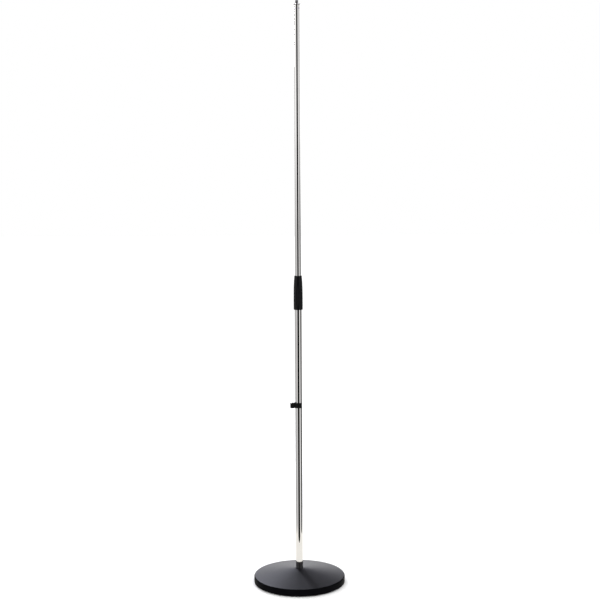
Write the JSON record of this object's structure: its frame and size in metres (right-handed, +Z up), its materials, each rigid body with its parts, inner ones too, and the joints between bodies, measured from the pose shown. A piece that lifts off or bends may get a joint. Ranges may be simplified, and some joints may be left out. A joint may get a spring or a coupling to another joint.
{
  "type": "microphone floor stand",
  "caption": "Straight microphone stand: round cast base, two-piece telescopic chrome rod with twist clutch, cable clip and 3/8 inch threaded stud.",
  "frame": {"origin": "on the floor under the rod's axis, with the rod fully extended", "axes": "+Z up along the rod; the cable clip's hook points towards -X and its jaws open towards +X"},
  "size_m": [0.25, 0.25, 1.575],
  "materials": {
    "base_casting": "black powder coat, fine texture",
    "rubber": "matt moulded",
    "chrome": "bright chrome plate",
    "zinc_steel": "zinc plated",
    "nylon": "natural nylon",
    "black_plastic": "semi-gloss moulded",
    "clip_plastic": "satin moulded",
    "felt": "pressed felt"
  },
  "bodies": {
    "base": {"base_casting": "base_casting", "rubber_ring": "rubber", "flat_washer": "zinc_steel", "spring_washer": "zinc_steel", "base_bolt": "zinc_steel", "foot_plug": "zinc_steel", "lower_tube": "chrome", "clutch_body": "zinc_steel", "clutch_pin_left": "zinc_steel", "clutch_pin_right": "zinc_steel", "guide_bush": "nylon", "collet": "nylon"},
    "clamp_ring": {"slip_ring": "zinc_steel"},
    "grip": {"clutch_grip": "black_plastic", "grip_end_bush": "black_plastic", "wiper_ring": "felt"},
    "rod_foot": {"stop_bush": "nylon"},
    "rod": {"upper_rod": "chrome", "rod_end_plug": "nylon", "rod_end_screw": "zinc_steel", "thread_plug": "chrome"},
    "clip": {"cable_clip": "clip_plastic"}
  },
  "joints": [
    {"name": "clamp_rise", "type": "slide", "parent": "base", "child": "clamp_ring", "axis": [0, 0, 1], "range_m": [0, 0.001]},
    {"name": "grip_twist", "type": "hinge", "parent": "clamp_ring", "child": "grip", "pos_m": [0, 0, 0.8], "axis": [0, 0, 1], "range_deg": [0, 180]},
    {"name": "rod_slide", "type": "slide", "parent": "base", "child": "rod_foot", "axis": [0, 0, 1], "range_m": [-0.705, 0]},
    {"name": "rod_turn", "type": "hinge", "parent": "rod_foot", "child": "rod", "pos_m": [0, 0, 1.2], "axis": [0, 0, 1], "continuous": true},
    {"name": "clip_slide", "type": "slide", "parent": "base", "child": "clip", "axis": [0, 0, 1], "range_m": [-0.44, 0.25]}
  ],
  "couplings": [
    {"joint": "grip_twist", "follows": "clamp_rise", "rad_per_m": 3141.6}
  ]
}
